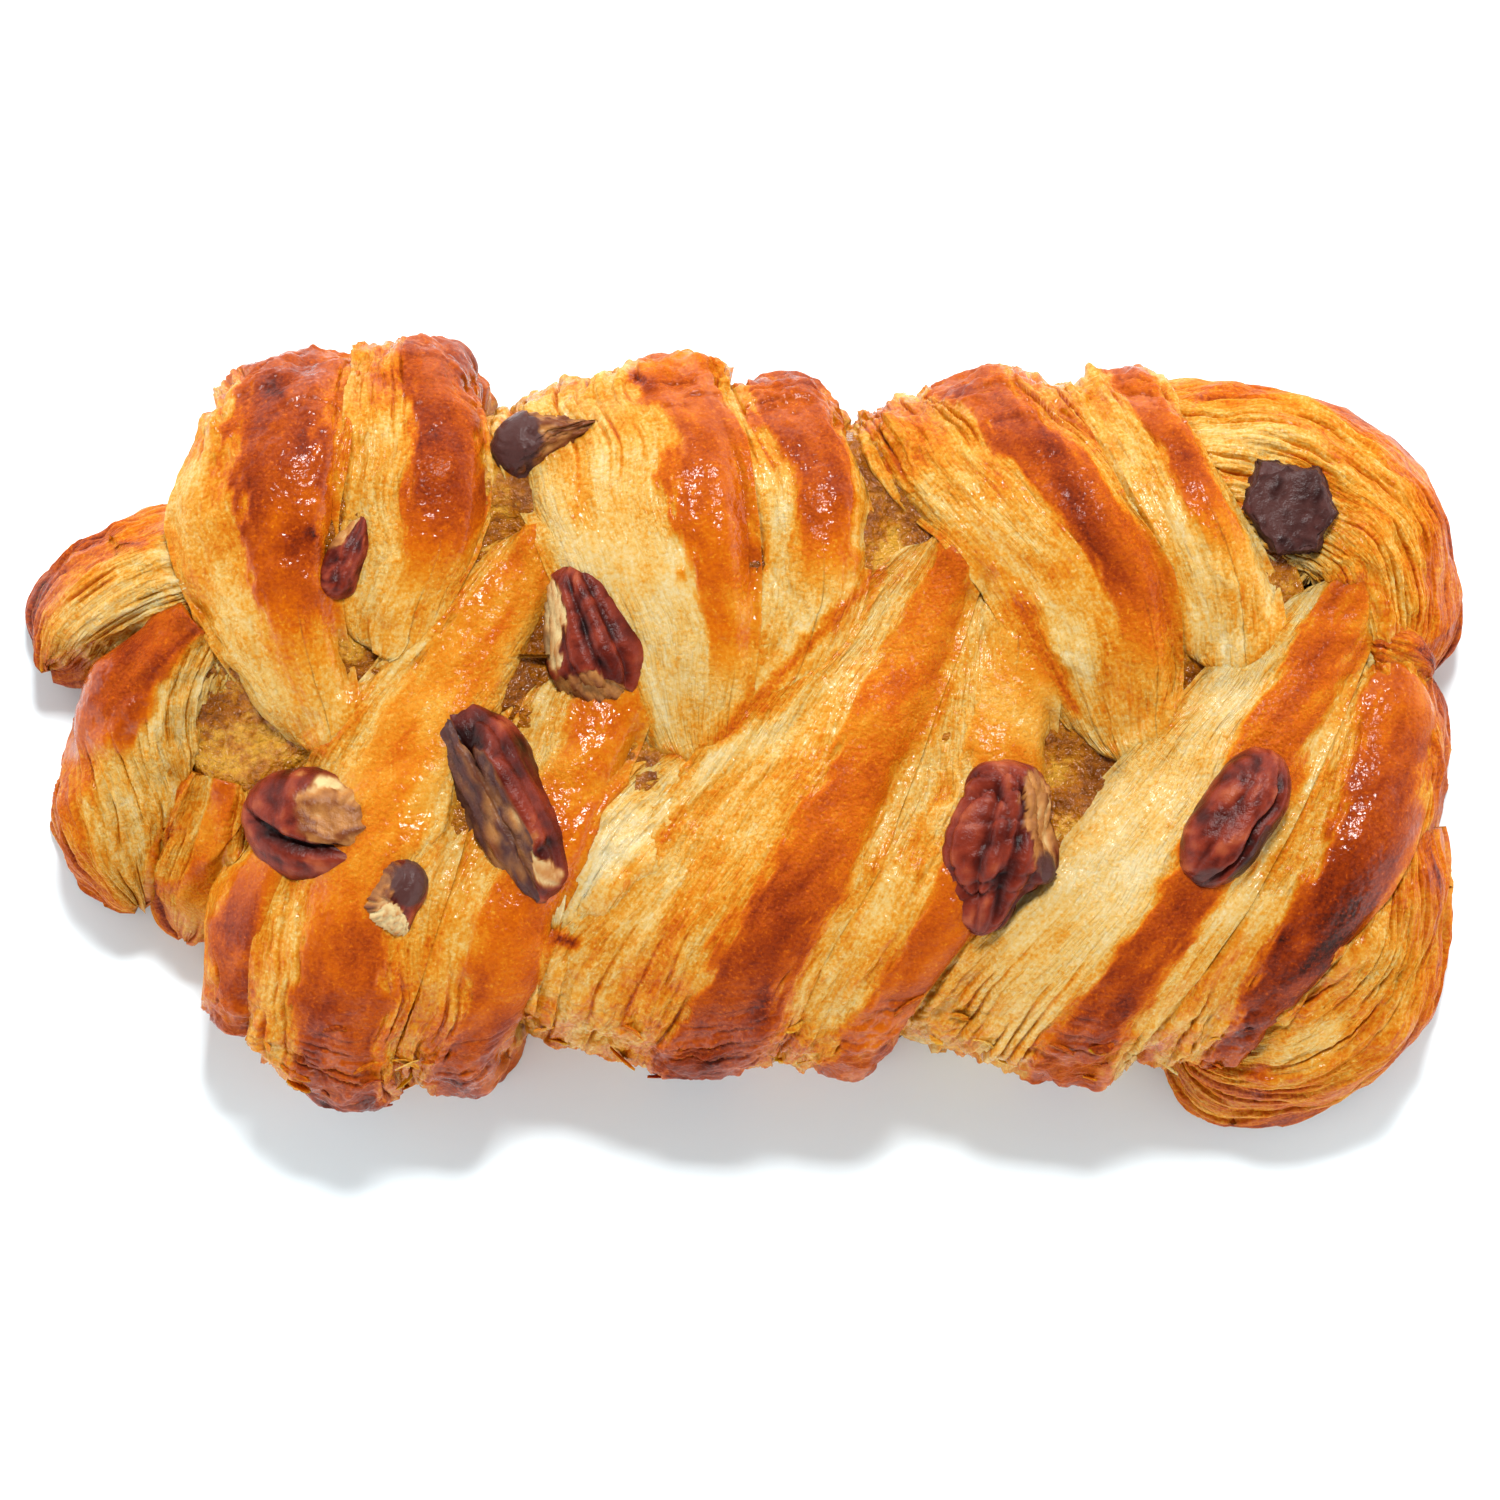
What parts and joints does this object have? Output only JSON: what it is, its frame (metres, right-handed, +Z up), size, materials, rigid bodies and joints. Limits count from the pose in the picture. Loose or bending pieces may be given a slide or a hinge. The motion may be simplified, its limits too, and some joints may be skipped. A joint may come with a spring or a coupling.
{
  "type": "maple pecan danish",
  "caption": "Plaited danish of laminated dough with glossy crust bands, maple filling showing between the strips and roasted pecan pieces on top",
  "frame": {"origin": "centre of the flat bottom, at the middle of the bounding box", "axes": "+X along the plait towards the end with the two folded corners, +Y towards the far edge, +Z up"},
  "size_m": [0.1458, 0.0788, 0.0331],
  "materials": {
    "baked_dough": "glazed golden crust over pale flaky layers",
    "maple_filling": "sticky and sugary",
    "pecan": "roasted and glazed",
    "burnt_pecan": "roasted almost black"
  },
  "bodies": {
    "root": {"pastry": "baked_dough", "filling": "maple_filling", "pecan_1": "pecan", "pecan_2": "pecan", "pecan_3": "pecan", "pecan_4": "pecan", "pecan_5": "pecan", "pecan_6": "burnt_pecan", "pecan_7": "burnt_pecan", "pecan_8": "burnt_pecan", "pecan_9": "pecan"}
  },
  "joints": []
}
